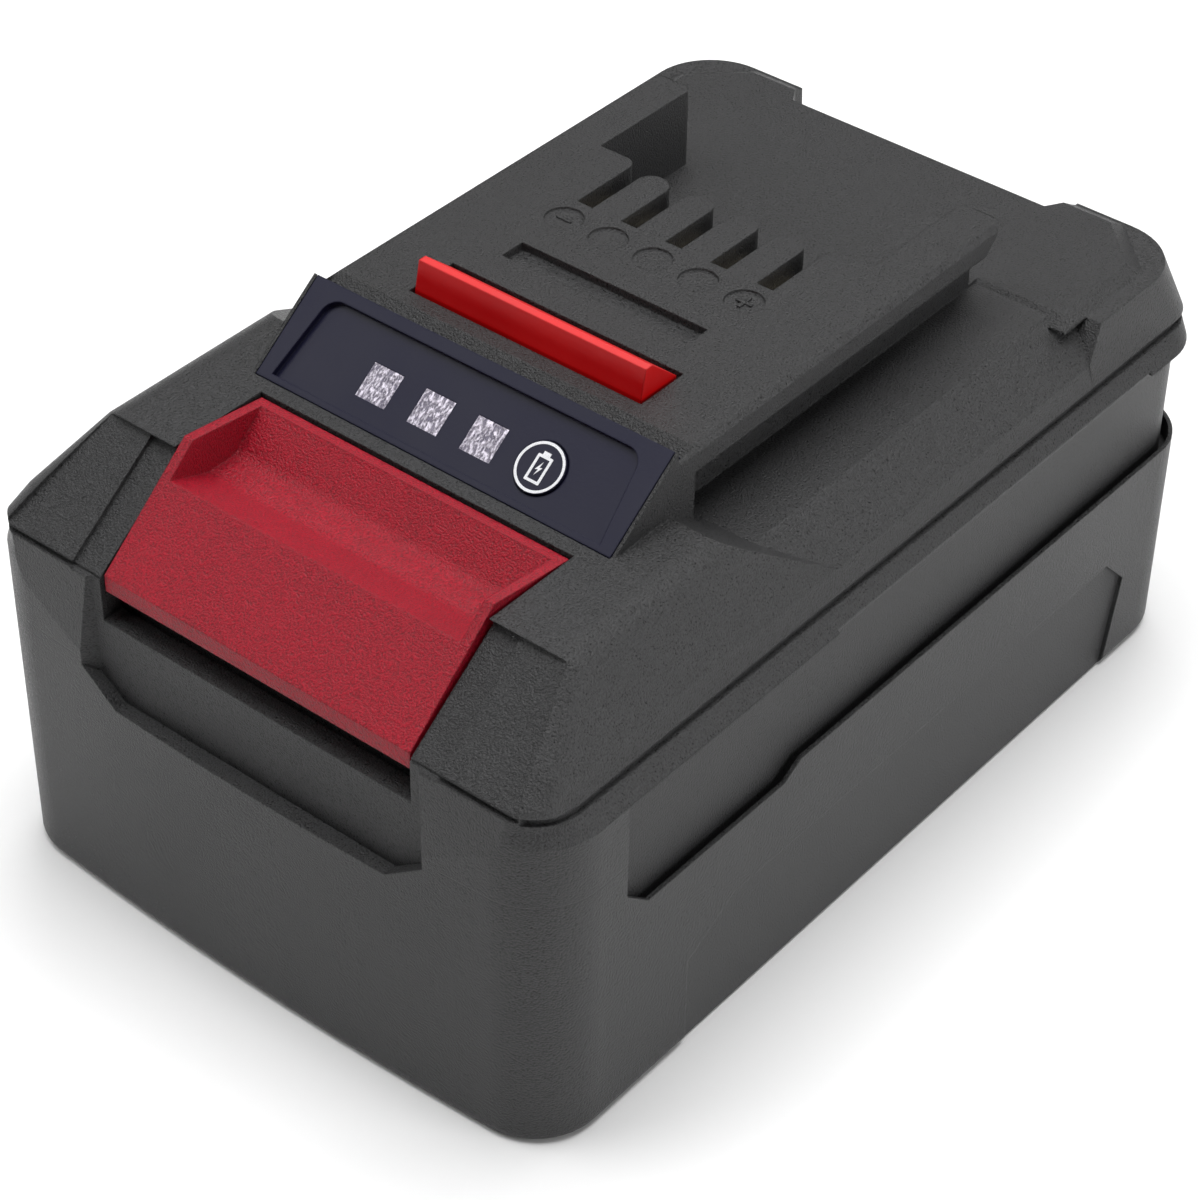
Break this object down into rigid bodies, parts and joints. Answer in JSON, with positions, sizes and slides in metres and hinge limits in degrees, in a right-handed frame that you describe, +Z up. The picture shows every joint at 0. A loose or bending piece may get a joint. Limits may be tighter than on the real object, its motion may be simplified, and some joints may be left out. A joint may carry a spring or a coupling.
{
  "type": "power tool battery pack",
  "caption": "Slide-on battery pack for power tools, with a sprung release button and latch bar, a charge gauge with a check button, and cells inside a two-part case.",
  "frame": {"origin": "bottom centre of the pack's box, on the surface that the pack stands on", "axes": "+X to the right when the release button faces the viewer, +Y from the release button to the rear, +Z up, out of the plateau"},
  "size_m": [0.078, 0.119, 0.0641],
  "materials": {
    "case_plastic": "fine spark-eroded grain, charcoal",
    "button_red": "fine grain, crimson",
    "latch_red": "smooth, saturated red",
    "gauge_plastic": "smooth, blue-black",
    "gauge_window": "frosted, silver-lilac",
    "light_lens": "clear, water white",
    "spring_steel": "drawn wire",
    "inner_plastic": "moulded, black",
    "board_green": "solder mask, green",
    "chip_black": "moulded, black",
    "cell_wrap": "shrink sleeve, green",
    "card_paper": "pressed card, grey-green",
    "nickel": "rolled sheet",
    "contact_metal": "stamped, tinned",
    "screw_steel": "black oxide",
    "foam": "closed-cell foam",
    "ribbon_white": "flat film cable"
  },
  "bodies": {
    "case": {"lower_case": "case_plastic", "upper_case": "case_plastic", "latch_springs": "spring_steel", "gauge_bezel": "gauge_plastic", "gauge_windows": "gauge_window", "gauge_board": "board_green", "gauge_spacers": "inner_plastic", "gauge_lights": "light_lens", "push_switch": "inner_plastic", "cells": "cell_wrap", "cell_rings": "card_paper", "cell_holder_right": "inner_plastic", "cell_holder_left": "inner_plastic", "strips_right": "nickel", "strips_left": "nickel", "insulator_card_right": "card_paper", "insulator_card_left": "card_paper", "cell_pads": "foam", "lead_negative": "nickel", "lead_positive": "nickel", "main_board": "board_green", "board_screws": "screw_steel", "board_parts": "chip_black", "terminal_block": "inner_plastic", "power_terminals": "contact_metal", "signal_terminals": "contact_metal", "thermistor": "chip_black", "gauge_ribbon": "ribbon_white", "case_screws": "screw_steel"},
    "latch": {"release_button": "button_red", "latch_bar": "latch_red"},
    "check": {"check_button": "gauge_plastic"}
  },
  "joints": [
    {"name": "release_press", "type": "slide", "parent": "case", "child": "latch", "axis": [0, 0, -1], "range_m": [0, 0.0035], "stiffness_N_per_m": 1500, "springref_m": -0.004, "deforming": ["latch_springs"]},
    {"name": "check_press", "type": "slide", "parent": "case", "child": "check", "axis": [0, 0.5935, -0.8048], "range_m": [0, 0.0005], "stiffness_N_per_m": 800, "springref_m": -0.0008}
  ]
}
